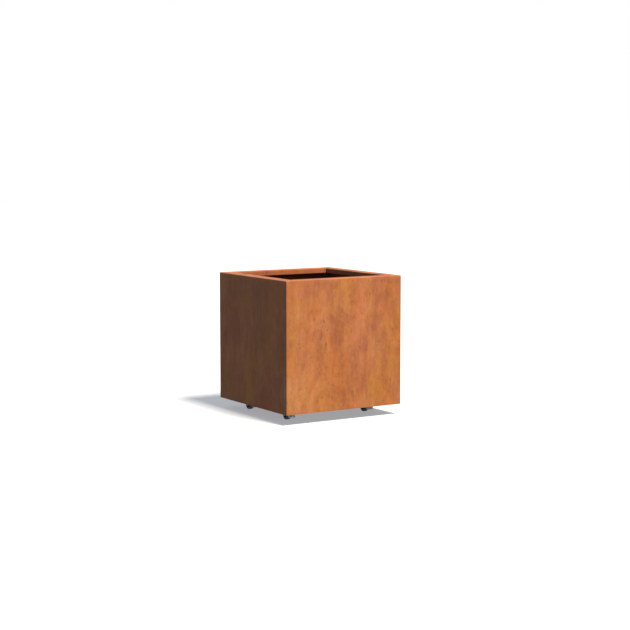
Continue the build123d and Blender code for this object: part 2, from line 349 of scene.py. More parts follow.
def noiseOf(tree, place, scale, detail=3, rough=0.5, stretch=(1, 1, 1), shift=(0, 0, 0), warp=0, out="Fac"):
    node = tree.nodes.new("ShaderNodeTexNoise")
    tree.links.new(mapped(tree, place, stretch, shift), node.inputs["Vector"])
    node.inputs["Scale"].default_value = scale
    node.inputs["Detail"].default_value = detail
    node.inputs["Roughness"].default_value = rough
    node.inputs["Distortion"].default_value = warp
    return node.outputs[out]


def cellsOf(tree, place, scale):
    node = tree.nodes.new("ShaderNodeTexVoronoi")
    tree.links.new(mapped(tree, place), node.inputs["Vector"])
    node.inputs["Scale"].default_value = scale
    return node.outputs["Color"]


def sums(tree, operation, a, b=0.0, c=0.0):
    node = tree.nodes.new("ShaderNodeMath")
    node.operation = operation
    for socket, value in zip(node.inputs, (a, b, c)):
        feed(tree, socket, value)
    return node.outputs[0]


def span(tree, value, low, high, toLow=0.0, toHigh=1.0):
    node = tree.nodes.new("ShaderNodeMapRange")
    feed(tree, node.inputs["Value"], value)
    node.inputs["From Min"].default_value = low
    node.inputs["From Max"].default_value = high
    node.inputs["To Min"].default_value = toLow
    node.inputs["To Max"].default_value = toHigh
    return node.outputs["Result"]


def ramped(tree, value, stops):
    node = tree.nodes.new("ShaderNodeValToRGB")
    feed(tree, node.inputs["Fac"], value)
    band = node.color_ramp
    while len(band.elements) < len(stops):
        band.elements.new(0.5)
    for element, (position, colour) in zip(band.elements, stops):
        element.position = position
        element.color = (*colour, 1)
    return node.outputs["Color"]


def blended(tree, factor, a, b, kind="MIX"):
    node = tree.nodes.new("ShaderNodeMix")
    node.data_type = "RGBA"
    node.blend_type = kind
    feed(tree, node.inputs["Factor"], factor)
    feed(tree, node.inputs[6], a)
    feed(tree, node.inputs[7], b)
    return node.outputs[2]


def bumped(tree, shader, height, distance, strength=1.0):
    node = tree.nodes.new("ShaderNodeBump")
    node.inputs["Distance"].default_value = distance
    node.inputs["Strength"].default_value = strength
    feed(tree, node.inputs["Height"], height)
    tree.links.new(node.outputs["Normal"], shader.inputs["Normal"])


def attributeOf(tree, name):
    node = tree.nodes.new("ShaderNodeAttribute")
    node.attribute_name = name
    return node.outputs["Fac"]


rustLook = {
    "deep": (0.172, 0.043, 0.0078),
    "middle": (0.237, 0.0700, 0.0125),
    "bright": (0.290, 0.101, 0.0225),
    "damp": (0.150, 0.046, 0.018),
    "rainTint": (0.78, 0.64, 0.38),  # where rain stands, on the rim and lip
    "fleck": (0.075, 0.026, 0.012),
    "patchScale": 4.0,       # broadest blotches per metre
    "patchHeight": 0.45,     # below 1 draws them out upwards
    "cloudScale": 8,
    "streakScale": 34,
    "grainScale": 900,
    "contrast": 0.108,       # smaller is stronger
    "hueScale": 6.5,
    "hueSwing": (0.3, 0.95, 4.4),  # how far red, green and blue wander by themselves
    "fleckScale": 75,
    "pitScale": 420,
    "roughness": 0.84,
    "specular": 0.32,
    "sheen": 0.12,
}


def rustColour(tree, place, look, streaks, patches, grain):
    tall = (1, 1, look["patchHeight"])
    streak = noiseOf(tree, place, look["streakScale"], 5, 0.75, (1, 1, 0.08), (0.3, 2.2, 5.1))
    clouds = noiseOf(tree, place, look["cloudScale"], 5, 0.8, (1, 1, 0.6), (7, 4, 1), 0.5)
    value = sums(tree, "MULTIPLY_ADD", patches, 0.55, sums(tree, "MULTIPLY", streak, 0.20 * streaks))
    value = sums(tree, "MULTIPLY_ADD", clouds, 0.50, value)
    value = sums(tree, "MULTIPLY_ADD", grain, 0.10, value)
    centre = 0.575 + 0.10 * streaks
    share = span(tree, value, centre - look["contrast"], centre + look["contrast"])
    colour = ramped(tree, share, [(0.0, look["deep"]), (0.5, look["middle"]), (1.0, look["bright"])])
    # each colour wanders a little by itself, so patches lean to ochre, brick or plum
    wander = noiseOf(tree, place, look["hueScale"], 5, 0.8, tall, (9, 3, 8), out="Color")
    swing = tree.nodes.new("ShaderNodeVectorMath")
    swing.operation = "MULTIPLY_ADD"
    tree.links.new(wander, swing.inputs[0])
    swing.inputs[1].default_value = look["hueSwing"]
    swing.inputs[2].default_value = tuple(1 - amount / 2 for amount in look["hueSwing"])
    return blended(tree, 1.0, colour, swing.outputs[0], "MULTIPLY")


def wallMarks(tree, look, colour, patches):
    # worn folds, the damp inside and the rain-washed rim, from the wall meshes' own attributes
    worn = sums(tree, "MULTIPLY", attributeOf(tree, "wear"), span(tree, patches, 0.4, 0.6, 0.4, 1.0))
    colour = blended(tree, sums(tree, "MULTIPLY", worn, 0.35), colour, look["deep"])
    damp = sums(tree, "MULTIPLY", attributeOf(tree, "inside"), span(tree, patches, 0.4, 0.6, 0.35, 0.75))
    colour = blended(tree, damp, colour, look["damp"])
    return blended(tree, attributeOf(tree, "rain"), colour, look["rainTint"], "MULTIPLY")


def makeRust(name, look, streaks=1.0, walls=False):
    material, tree, shader, place = startMaterial(name)
    patches = noiseOf(tree, place, look["patchScale"], 8, 0.88, (1, 1, look["patchHeight"]), (3.1, 1.7, 0.4))
    grain = noiseOf(tree, place, look["grainScale"], 3, 0.6)
    colour = rustColour(tree, place, look, streaks, patches, grain)
    # dark flecks, longer than wide, and fine pits
    flecks = span(tree, noiseOf(tree, place, look["fleckScale"], 2, 0.5, (1, 1, 0.4), (2, 5, 9)), 0.66, 0.74)
    pits = span(tree, noiseOf(tree, place, look["pitScale"], 2, 0.5, shift=(4, 1, 3)), 0.62, 0.72)
    for mask, amount in ((flecks, 0.55), (pits, 0.30)):
        colour = blended(tree, sums(tree, "MULTIPLY", mask, amount), colour, look["fleck"])
    if walls:
        colour = wallMarks(tree, look, colour, patches)
    tree.links.new(colour, shader.inputs["Base Color"])
    roughness = span(tree, patches, 0.3, 0.7, look["roughness"] - 0.1, look["roughness"] + 0.1)
    tree.links.new(roughness, shader.inputs["Roughness"])
    shader.inputs["Specular IOR Level"].default_value = look["specular"]
    shader.inputs["Sheen Weight"].default_value = look["sheen"]
    shader.inputs["Sheen Roughness"].default_value = 0.5
    relief = sums(tree, "MULTIPLY_ADD", grain, 0.35, sums(tree, "MULTIPLY", patches, 1.2))
    hollows = sums(tree, "MULTIPLY", sums(tree, "MAXIMUM", flecks, pits), 0.35)
    bumped(tree, shader, sums(tree, "SUBTRACT", relief, hollows), 0.0006, 0.6)
    return material


def makeMetal(name, colour, dull, roughness, dirt=(0.10, 0.075, 0.055), dirtShare=0.5):
    # plated or bare steel: crystal bloom, drawn scratches and blotches of dust
    material, tree, shader, place = startMaterial(name)
    crystal = cellsOf(tree, place, 210)
    cloud = noiseOf(tree, place, 45, 5, 0.6)
    scratches = noiseOf(tree, place, 1400, 2, 0.5, (1, 1, 0.12))
    shade = sums(tree, "MULTIPLY_ADD", crystal, 0.35, sums(tree, "MULTIPLY", cloud, 0.65))
    base = ramped(tree, shade, [(0.2, dull), (0.7, colour)])
    dusty = span(tree, noiseOf(tree, place, 70, 6, 0.7, shift=(3, 3, 3)), 0.52, 0.72, 0, dirtShare)
    tree.links.new(blended(tree, dusty, base, dirt), shader.inputs["Base Color"])
    tree.links.new(span(tree, dusty, 0, 1, 1.0, 0.1), shader.inputs["Metallic"])
    cloudy = sums(tree, "MULTIPLY_ADD", cloud, 0.18, roughness - 0.09)
    tree.links.new(sums(tree, "MULTIPLY_ADD", dusty, 0.5, cloudy), shader.inputs["Roughness"])
    bumped(tree, shader, sums(tree, "MULTIPLY_ADD", dusty, 0.8, scratches), 0.00008, 0.5)
    return material


def makeRubber(name, colour, dust, dustShare):
    material, tree, shader, place = startMaterial(name)
    cloud = noiseOf(tree, place, 60, 6, 0.65)
    speck = noiseOf(tree, place, 900, 3, 0.6)
    mask = sums(tree, "MULTIPLY", span(tree, cloud, 0.42, 0.66), span(tree, speck, 0.35, 0.65, 0.5, 1.0))
    dusted = blended(tree, sums(tree, "MULTIPLY", mask, dustShare), colour, dust)
    tree.links.new(dusted, shader.inputs["Base Color"])
    tree.links.new(span(tree, mask, 0, 1, 0.55, 0.88), shader.inputs["Roughness"])
    bumped(tree, shader, sums(tree, "MULTIPLY_ADD", speck, 0.5, cloud), 0.00012, 0.5)
    return material


def makePlastic(name, colour, scuff):
    material, tree, shader, place = startMaterial(name)
    flow = noiseOf(tree, place, 120, 3, 0.5, (1, 1, 0.3))
    grain = noiseOf(tree, place, 1800, 2, 0.5)
    scratch = span(tree, noiseOf(tree, place, 320, 4, 0.7, (1, 0.15, 1)), 0.60, 0.72)
    moulded = blended(tree, flow, colour, tuple(c * 1.35 for c in colour))
    scuffed = blended(tree, sums(tree, "MULTIPLY", scratch, 0.4), moulded, scuff)
    tree.links.new(scuffed, shader.inputs["Base Color"])
    tree.links.new(span(tree, flow, 0.3, 0.7, 0.38, 0.56), shader.inputs["Roughness"])
    bumped(tree, shader, sums(tree, "MULTIPLY_ADD", scratch, -0.4, grain), 0.00005, 0.5)
    return material


trayLook = dict(
    rustLook, deep=(0.105, 0.030, 0.010), middle=(0.165, 0.050, 0.014), bright=(0.215, 0.072, 0.020),
    patchHeight=1,
)
weldLook = dict(
    rustLook, deep=(0.090, 0.028, 0.012), middle=(0.150, 0.046, 0.016), bright=(0.205, 0.070, 0.024),
    patchScale=20, patchHeight=1, roughness=0.66,
)
wallRust = makeRust("wallRust", rustLook, walls=True)
trayRust = makeRust("trayRust", trayLook, streaks=0.3)
weldRust = makeRust("weldRust", weldLook, streaks=0.3)
zincPlate = makeMetal("zincPlate", (0.40, 0.41, 0.42), (0.24, 0.25, 0.26), 0.42)
ballSteel = makeMetal("ballSteel", (0.62, 0.62, 0.63), (0.48, 0.48, 0.50), 0.16, dirtShare=0.2)
tyreRubber = makeRubber("tyreRubber", (0.058, 0.060, 0.066), (0.18, 0.165, 0.15), 0.40)
hubPlastic = makePlastic("hubPlastic", (0.045, 0.046, 0.050), (0.14, 0.14, 0.14))
print("materials made")

# what the CAD nodes are made of, which the tray and the channels keep
stock = {
    "weathering_steel": trayRust, "weld_metal": weldRust, "zinc_plated_steel": zincPlate,
    "bright_steel": ballSteel, "wheel_plastic": hubPlastic, "wheel_rubber": tyreRubber,
}
for name, node in nodes.items():
    node.data.materials.clear()
    node.data.materials.append(stock[slotOf(name)])

wallShape = {
    "sheet": 2 * mm,
    "rimWidth": 50 * mm,
    "lipHeight": 22 * mm,
    "bend": 3.5 * mm,          # outside radius of the folds
    "bendSteps": 6,
    "rimFrom": 3.4 * mm,       # the last bend point already counts as rim
    "rimSteps": 6,
    "lipSteps": 4,
    "cornerRadius": 1.6 * mm,  # the ground upright corners
    "cornerSteps": 4,
    "besideCorner": (4 * mm, 10 * mm, 22 * mm),  # extra stations, for the corner's wear
    "evenFrom": 30 * mm,       # where the even stations start
    "stations": 44,            # along the wall
    "rows": 40,                # up the wall
    "buckle": 0.6 * mm,        # deepest dent of the flat sheet, inwards
    "bucklesPerMetre": 4,
    "stiffEdge": 10 * mm,      # dents start this far from an edge
    "dentFade": 90 * mm,
    "cornerWear": 5 * mm,
    "foldWear": 4 * mm,
    "lipWear": 3 * mm,
    "rimRain": 0.85,           # share of the lip's rain tint
}


def foldedSection(bottom, top, shape):
    # outside and inside lines of the folded sheet, from its lower edge to the lip's edge
    r, width = shape["bend"], shape["rimWidth"]
    steps, rows, rimSteps, lipSteps = (shape[key] for key in ("bendSteps", "rows", "rimSteps", "lipSteps"))
    def line(offset):
        inner = r - offset
        points = [(offset, bottom + (top - r - bottom) * i / rows) for i in range(rows)]
        points += arcPoints((r, top - r), inner, 180, 90, steps)
        points += [(r + (width - 2 * r) * i / rimSteps, top - offset) for i in range(1, rimSteps)]
        points += arcPoints((width - r, top - r), inner, 90, 0, steps)
        drop = shape["lipHeight"] - r
        points += [(width - offset, top - r - drop * i / lipSteps) for i in range(1, lipSteps + 1)]
        return points
    return line(0), line(shape["sheet"])


def wallStations(shape):
    # (side, kind, value) along the wall: the mitred corner, close stations beside it, then even ones
    turns = [i / shape["cornerSteps"] for i in range(shape["cornerSteps"] + 1)]
    beside, count = shape["besideCorner"], shape["stations"]
    stations = [(-1, "mitre", t) for t in turns[::-1]] + [(-1, "beside", d) for d in beside]
    stations += [(2 * i / count - 1, "beside", shape["evenFrom"]) for i in range(1, count)]
    return stations + [(1, "beside", d) for d in beside[::-1]] + [(1, "mitre", t) for t in turns]


def stationPlace(station, u, length, shape):
    # where a section point u in from the face stands: along the wall, in from its face, from the corner
    side, kind, value = station
    radius = shape["cornerRadius"]
    if kind == "beside":
        return side * (length / 2 - max(u, radius) - value), u, value
    turn = math.radians(45 * value)
    away = max(u, radius * (1 - math.cos(turn)))
    if u > radius:
        inset = u + radius * (1 - math.sin(turn) / math.sin(math.radians(45)))
    else:
        inset = max(away, radius * (1 - math.sin(turn)))
    return side * (length / 2 - inset), away, 0.0


def wallFaces(stationCount, size):
    # size points to a station, closed round the section and at both ends
    faces = []
    for k in range(stationCount - 1):
        here, there = k * size, (k + 1) * size
        for i in range(size):
            j = (i + 1) % size
            faces.append((here + i, here + j, there + j, there + i))
    last = (stationCount - 1) * size
    for i in range(size // 2 - 1):
        back = size - 1 - i
        faces.append((i, back, back - 1, i + 1))
        faces.append((last + i, last + i + 1, last + back - 1, last + back))
    return faces


def wallMesh(name, middle, run, length, shape):
    inward = zUp.cross(run)
    low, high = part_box(name)
    outer, inner = foldedSection(low.z, high.z, shape)
    section = outer + inner[::-1]
    stations = wallStations(shape)
    lipEdge = high.z - shape["lipHeight"]
    points, marks = [], {"wear": [], "inside": [], "rain": []}
    for station in stations:
        for i, (u, z) in enumerate(section):
            along, away, toCorner = stationPlace(station, u, length, shape)
            onWall = u < shape["rimWidth"] / 2
            toEdge = min(length / 2 - abs(along), z - low.z, high.z - z)
            flat = min(1, max(0, (toEdge - shape["stiffEdge"]) / shape["dentFade"])) if onWall else 0
            at = (middle + run * along + zUp * z) * shape["bucklesPerMetre"]
            dent = (noise.noise(at + zUp * 7) * 0.5 + 0.5) * shape["buckle"] * flat
            points.append(middle + run * along + inward * (away + dent) + zUp * z)
            toFold = min(high.z - z + u, z - low.z)
            worn = [math.exp(-toCorner / shape["cornerWear"]), math.exp(-toFold / shape["foldWear"])]
            if not onWall:
                worn.append(math.exp(-(z - lipEdge) / shape["lipWear"]))
            marks["wear"].append(max(worn))
            marks["inside"].append(1.0 if i >= len(outer) and onWall else 0.0)
            onLip, onRim = u > shape["rimWidth"] - shape["bend"], u > shape["rimFrom"]
            marks["rain"].append(1.0 if onLip else shape["rimRain"] if onRim else 0.0)
    mesh = meshFrom(name, points, wallFaces(len(stations), len(section)))
    for label, values in marks.items():
        mesh.attributes.new(label, "FLOAT", "POINT").data.foreach_set("value", values)
    tidyNormals(mesh, 1e-7)
    return softShade(mesh, 30)


halfX, halfY = cadBox[1].x, cadBox[1].y
runs = {
    "front_wall": (Vector((0, -halfY, 0)), Vector((1, 0, 0)), 2 * halfX),
    "right_wall": (Vector((halfX, 0, 0)), Vector((0, 1, 0)), 2 * halfY),
    "rear_wall": (Vector((0, halfY, 0)), Vector((-1, 0, 0)), 2 * halfX),
    "left_wall": (Vector((-halfX, 0, 0)), Vector((0, -1, 0)), 2 * halfY),
}
for name, (middle, run, length) in runs.items():
    addPiece(name, wallMesh(name, middle, run, length, wallShape), "planter", wallRust)
print("walls folded")


def castorPlace(corner, turned=True):
    # from the castor's own axes, x along its trail and z up from the ground, to where it stands
    kingpin = Vector(joints[corner + "_swivel"]["pos_m"])
    away = Vector(joints[corner + "_wheel_spin"]["pos_m"]) - kingpin
    swing = math.atan2(away.y, away.x) if turned else 0
    return Matrix.Translation((kingpin.x, kingpin.y, 0)) @ Matrix.Rotation(swing, 4, "Z")


def placed(mesh, place):
    copy = mesh.copy()
    copy.transform(place)
    return copy


# sizes that every castor piece takes from the frame
plateLow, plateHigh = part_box("front_left_plate")
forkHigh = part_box("front_left_fork")[1]
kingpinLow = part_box("front_left_kingpin")[0]
ballsLow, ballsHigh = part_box("front_left_race_balls")
kingpinAt = Vector(joints["front_left_swivel"]["pos_m"])
axleAt = Vector(joints["front_left_wheel_spin"]["pos_m"])
pinAt = Vector(joints["front_left_brake_lift"]["pos_m"])
axleSpot = ((axleAt - kingpinAt).xy.length, axleAt.z)
pinSpot = ((pinAt - kingpinAt).xy.dot((axleAt - kingpinAt).xy.normalized()), pinAt.z)
ballLevel = (ballsLow.z + ballsHigh.z) / 2
signs = [(sx, sy) for sx in (-1, 1) for sy in (-1, 1)]
boltReach = 24 * mm
boltSpots = [(sx * boltReach, sy * boltReach) for sx, sy in signs]

plateShape = {
    "size": 62 * mm, "thickness": 2.5 * mm, "corner": 6 * mm, "hole": 3.3 * mm, "edge": 0.5 * mm,
    "raceRadius": 18 * mm, "raceCorner": 1.4 * mm, "bore": 4.05 * mm, "boreEdge": 0.5 * mm,
    "grooveRing": 12.5 * mm, "groove": 2.3 * mm, "overlap": 1 * mm,
}


def plateMesh(shape):
    # pressed top plate with the upper cup of the ball race under it
    holes = [circleLoop(shape["hole"], spot) for spot in boltSpots] + [circleLoop(shape["bore"], steps=32)]
    sheet = cutSheet("plate", roundedLoop(shape["size"], shape["size"], shape["corner"]), holes,
                     shape["thickness"], shape["edge"])
    sheet.transform(Matrix.Translation((0, 0, plateHigh.z - shape["thickness"] / 2)))
    low, top, r = plateLow.z, plateHigh.z - shape["thickness"] + shape["overlap"], shape["raceRadius"]
    turned, bore, bevel = shape["raceCorner"], shape["bore"], shape["boreEdge"]
    dip = math.degrees(math.asin((low - ballLevel) / shape["groove"]))
    cup = [(r, top), (r, low + turned)]
    cup += arcPoints((r - turned, low + turned), turned, -20, -90, 4)
    cup += arcPoints((shape["grooveRing"], ballLevel), shape["groove"], dip, 180 - dip, 8)
    cup += [(bore + bevel, low), (bore, low + bevel), (bore, top)]
    return softShade(joinMeshes("plate", [sheet, lathe("cup", cup + cup[:1], 56)]))


kingpinShape = {
    "radius": 4 * mm, "headRadius": 7.5 * mm, "headHeight": 2.5 * mm, "headCorner": 1.7 * mm,
    "dimple": 1.8 * mm, "dimpleDepth": 0.7 * mm, "dimpleRise": 0.15 * mm, "dimpleLip": 0.05 * mm,
    "shoulderEdge": 0.15 * mm, "edge": 0.4 * mm,
}


def kingpinMesh(shape):
    # rivet with a peened head below the fork and a flat one level with the plate
    low, r, head, top = kingpinLow.z, shape["radius"], shape["headRadius"], plateHigh.z
    shoulder, turned, edge = low + shape["headHeight"], shape["headCorner"], shape["edge"]
    dimple, deep, e = shape["dimple"], shape["dimpleDepth"], shape["shoulderEdge"]
    outline = [(0, low + deep), (dimple * 0.6, low + deep - shape["dimpleRise"])]
    outline += [(dimple, low + shape["dimpleLip"])]
    outline += [(dimple + deep, low)] + arcPoints((head - turned, low + turned), turned, -80, 0, 6)
    outline += [(head, shoulder - e), (head - e, shoulder), (r, shoulder)]
    outline += [(r, top - edge), (r - edge, top), (0, top)]
    return softShade(lathe("kingpin", outline, 40))


ballRing = {"Count": 14, "Ring Radius": 12.5 * mm, "Ball Radius": 2 * mm, "Level": ballLevel}


def ballTree():
    # balls evenly round a ring
    tree, socket, out = startTree("ballRing", [
        ("Count", "Int"), ("Ring Radius", "Float"), ("Ball Radius", "Float"), ("Level", "Float"),
        ("Finish", "Material")])
    ring = step(tree, "GeometryNodeMeshCircle", {
        "Vertices": socket["Count"], "Radius": socket["Ring Radius"]})
    ball = step(tree, "GeometryNodeMeshUVSphere", {
        "Segments": 16, "Rings": 10, "Radius": socket["Ball Radius"]})
    lift = step(tree, "ShaderNodeCombineXYZ", {"Z": socket["Level"]})
    raised = step(tree, "GeometryNodeSetPosition", {"Geometry": ring.outputs[0], "Offset": lift.outputs[0]})
    balls = step(tree, "GeometryNodeInstanceOnPoints", {
        "Points": raised.outputs[0], "Instance": ball.outputs[0]})
    return endTree(tree, out, balls.outputs[0], socket["Finish"])


forkShape = {
    "sheet": 2.5 * mm, "insideFold": 1 * mm, "outsideLeg": 13.5 * mm, "back": 4 * mm, "front": 15 * mm,
    "axleBoss": 8 * mm, "pinBoss": 5 * mm, "axleHole": 3 * mm, "pinHole": 2 * mm, "edge": 0.45 * mm,
    "crownRadius": 19 * mm, "crownCorner": 0.9 * mm, "bore": 4.05 * mm, "foldStart": 50, "foldSteps": 6,
}


def forkLeg(shape, side):
    # cut flat, then folded down: the flat blank's second number runs outwards from the crown's middle
    middle = shape["insideFold"] + shape["sheet"] / 2
    bendAt = shape["outsideLeg"] - shape["insideFold"] - shape["sheet"]
    legAt = bendAt + middle * math.pi / 2
    start = bendAt + middle * math.radians(shape["foldStart"])
    foldZ = forkHigh.z - shape["insideFold"] - shape["sheet"]
    axle = (axleSpot[0], legAt + foldZ - axleSpot[1])
    pin = (pinSpot[0], legAt + foldZ - pinSpot[1])
    outline = hullLoop([(-shape["back"], start, 0), (shape["front"], start, 0),
                        (*axle, shape["axleBoss"]), (*pin, shape["pinBoss"])], 56)
    holes = [circleLoop(shape["axleHole"], axle), circleLoop(shape["pinHole"], pin)]
    blank = cutSheet("leg", outline, holes, shape["sheet"], shape["edge"])
    work = bmesh.new()
    work.from_mesh(blank)
    for i in range(1, shape["foldSteps"] + 1):
        line = start + (legAt - start) * i / shape["foldSteps"]
        parts = work.verts[:] + work.edges[:] + work.faces[:]
        bmesh.ops.bisect_plane(work, geom=parts, plane_co=(0, line, 0), plane_no=(0, 1, 0))
    for vertex in work.verts:
        along, outward = vertex.co.y, vertex.co.z
        turn = min((along - bendAt) / middle, math.pi / 2)
        over = max(0, along - legAt)
        across = bendAt + (middle + outward) * math.sin(turn)
        vertex.co = (vertex.co.x, side * across, foldZ + (middle + outward) * math.cos(turn) - over)
    work.to_mesh(blank)
    work.free()
    return tidyNormals(blank)


def forkMesh(shape):
    # lower race cup with the two legs folded down from it
    low, high, bore = forkHigh.z - shape["sheet"], forkHigh.z, shape["bore"]
    turned, groove = shape["crownCorner"], plateShape["groove"]
    rim = shape["crownRadius"] - turned
    dip = math.degrees(math.asin((ballLevel - high) / groove))
    cup = [(bore, low), (rim, low)] + arcPoints((rim, low + turned), turned, -60, 0, 3)
    cup += arcPoints((rim, high - turned), turned, 0, 90, 4)
    cup += arcPoints((plateShape["grooveRing"], ballLevel), groove, -dip, dip - 180, 8)
    cup += [(bore, high)]
    legs = [forkLeg(shape, side) for side in (-1, 1)]
    return softShade(joinMeshes("fork", [lathe("cup", cup + cup[:1], 56)] + legs))


axleShape = {
    "radius": 3 * mm, "corner": 5.8 * mm, "head": 4 * mm, "nut": 5 * mm, "spare": 2 * mm, "pitch": 0.6 * mm,
    "threadInside": 2 * mm, "collarRadius": 4.4 * mm, "collarDepth": 0.1 * mm, "collarHeight": 0.4 * mm,
}


def acrossCastor(mesh, across, side=1):
    # lays an upright piece along the axle, its foot at the given distance from the wheel's middle
    turn = Matrix.Rotation(math.radians(-90 * side), 4, "X")
    return placed(mesh, Matrix.Translation((axleSpot[0], across, axleSpot[1])) @ turn)


def axleMeshes(shape):
    leg = forkShape["outsideLeg"]
    head = acrossCastor(hexHead("head", shape["corner"], shape["head"]), leg)
    end = leg + shape["nut"] + shape["spare"]
    rod = threadedRod("rod", shape["radius"], -leg, end, leg - shape["threadInside"], shape["pitch"])
    shank = acrossCastor(rod, 0, -1)
    nut = acrossCastor(hexHead("nut", shape["corner"], shape["nut"]), -leg, -1)
    r, low, high = shape["collarRadius"], -shape["collarDepth"], shape["collarHeight"]
    collar = lathe("collar", [(0, low), (r, low), (r, high), (0, high)], 32)
    collar = acrossCastor(collar, -leg - shape["nut"], -1)
    bolt = softShade(joinMeshes("axleBolt", [head, shank]), 30)
    return bolt, softShade(joinMeshes("axleNut", [nut, collar]), 30)


tyreShape = {
    "radius": axleSpot[1], "inside": 18 * mm, "half": 10 * mm, "shoulder": 3 * mm, "crown": 0.3 * mm,
    "mouldLine": 0.12 * mm, "mouldHalf": 0.25 * mm, "steps": 72,
    # a shallow ring pressed into each side, measured out from the bead
    "beadStep": (0.5 * mm, 0.4 * mm), "ringMouth": (1.4 * mm, 2.5 * mm), "ringFloor": (1.7 * mm, 2.2 * mm),
    "ringDepth": 0.35 * mm,
}


def tyreMesh(shape):
    # crowned tread with the mould's parting line, round shoulders and a step in each side
    top, half, bead = shape["radius"] - shape["mouldLine"], shape["half"], shape["inside"]
    flat = half - shape["shoulder"]
    tread = [(top - shape["crown"] * (i / 6) ** 2, flat * i / 6) for i in range(6, 0, -1)]
    tread += [(top, shape["mouldHalf"]), (shape["radius"], 0)]
    shoulder = arcPoints((top - shape["crown"] - shape["shoulder"], flat), shape["shoulder"], 90, 15, 7)
    (stepUp, stepIn), (mouthLow, mouthHigh) = shape["beadStep"], shape["ringMouth"]
    side = [(bead, half - stepIn), (bead + stepUp, half), (bead + mouthLow, half)]
    side += [(bead + up, half - shape["ringDepth"]) for up in shape["ringFloor"]]
    side += [(bead + mouthHigh, half)]
    right = side + shoulder[::-1] + tread
    outline = [(a, -b) for a, b in right] + right[::-1][1:]
    return softShade(lathe("tyre", outline + outline[:1], shape["steps"], "Y"), 40)


hubShape = {
    "bore": 3.05 * mm, "barrel": 7.5 * mm, "barrelEdge": 0.6 * mm, "width": 21 * mm, "web": 5 * mm,
    "rimInside": 15.5 * mm, "rimOutside": 18 * mm, "rimWidth": 18 * mm, "rimEdge": 0.3 * mm,
    "draft": 0.6 * mm, "pocket": 2.6 * mm, "edge": 0.5 * mm,
    "webIntoBarrel": 0.3 * mm, "webIntoRim": 0.2 * mm,  # how far the web runs into them
}
hubRibs = {
    "Count": 6, "Inner Radius": 7 * mm, "Outer Radius": 15.8 * mm, "Thickness": 1.5 * mm, "Width": 14 * mm,
}


def ribTree():
    # flat ribs standing out from a barrel, round the Y axis
    tree, socket, out = startTree("hubRibs", [
        ("Count", "Int"), ("Inner Radius", "Float"), ("Outer Radius", "Float"), ("Thickness", "Float"),
        ("Width", "Float"), ("Finish", "Material")])
    ends = {0: socket["Outer Radius"], 1: socket["Inner Radius"]}
    reach = step(tree, "ShaderNodeMath", ends, operation="SUBTRACT")
    size = step(tree, "ShaderNodeCombineXYZ", {
        "X": reach.outputs[0], "Y": socket["Thickness"], "Z": socket["Width"]})
    rib = step(tree, "GeometryNodeMeshCube", {"Size": size.outputs[0]})
    total = step(tree, "ShaderNodeMath", ends, operation="ADD")
    middle = step(tree, "ShaderNodeMath", {0: total.outputs[0], 1: 0.5}, operation="MULTIPLY")
    ring = step(tree, "GeometryNodeMeshCircle", {"Vertices": socket["Count"], "Radius": middle.outputs[0]})
    place = step(tree, "GeometryNodeInputPosition")
    turn = step(tree, "FunctionNodeAlignRotationToVector", {"Vector": place.outputs[0]}, axis="X")
    ribs = step(tree, "GeometryNodeInstanceOnPoints", {
        "Points": ring.outputs[0], "Instance": rib.outputs[0], "Rotation": turn.outputs[0]})
    stood = step(tree, "GeometryNodeTransform", {
        "Geometry": ribs.outputs[0], "Rotation": (math.radians(90), 0, 0)})
    return endTree(tree, out, stood.outputs[0], socket["Finish"], False)


def hubMesh(shape):
    # moulded centre: barrel, pierced web, ribs between the holes and a drafted rim
    bore, r, w, e = shape["bore"], shape["barrel"], shape["width"] / 2, shape["barrelEdge"]
    barrel = [(bore, -w), (r - e, -w), (r, -w + e), (r, w - e), (r - e, w), (bore, w)]
    low, high, half, web = shape["rimInside"], shape["rimOutside"], shape["rimWidth"] / 2, shape["web"] / 2
    mouth, e = low + shape["draft"], shape["rimEdge"]
    rim = [(high, -half), (high, half), (mouth + e, half), (mouth, half - e),
           (low, web), (low, -web), (mouth, -half + e), (mouth + e, -half)]
    spread = [2 * math.pi * (i + 0.5) / hubRibs["Count"] for i in range(hubRibs["Count"])]
    ring = (r + low) / 2
    holes = [circleLoop(shape["pocket"], (ring * math.cos(t), ring * math.sin(t)), 16) for t in spread]
    holes.insert(0, circleLoop(r - shape["webIntoBarrel"], steps=40))
    outline = circleLoop(low + shape["webIntoRim"], steps=60)
    plate = sidePlate("web", outline, holes, 0, shape["web"], shape["edge"])
    ribs = grown("ribs", bpy.data.meshes.new("ribs"), ribTree(), dict(hubRibs, Finish=hubPlastic))
    parts = [lathe("barrel", barrel + barrel[:1], 40, "Y"), lathe("rim", rim + rim[:1], 60, "Y"), plate, ribs]
    return softShade(joinMeshes("hub", parts), 30)


pedalShape = {
    "sheet": 2.5 * mm, "half": 15.9 * mm, "ear": 2 * mm, "boss": 5 * mm, "hole": 2.05 * mm, "edge": 0.4 * mm,
    # the foot plate's line, measured from the pin
    "start": (-10.5 * mm, 0.5 * mm), "bend": (-33 * mm, -21 * mm), "nose": (-36 * mm, -32.5 * mm),
    "bendRadius": 3 * mm, "shoeAngle": 144, "shoeLength": 11 * mm, "shoeDepth": 11.5 * mm,
    "shoeGap": 0.5 * mm, "shoeWidth": 17 * mm, "shoeEdge": 0.6 * mm,
}
treadBars = {"Count": 6, "Bar Radius": 0.7 * mm, "Bar Length": 25 * mm, "Margin": 0.12}


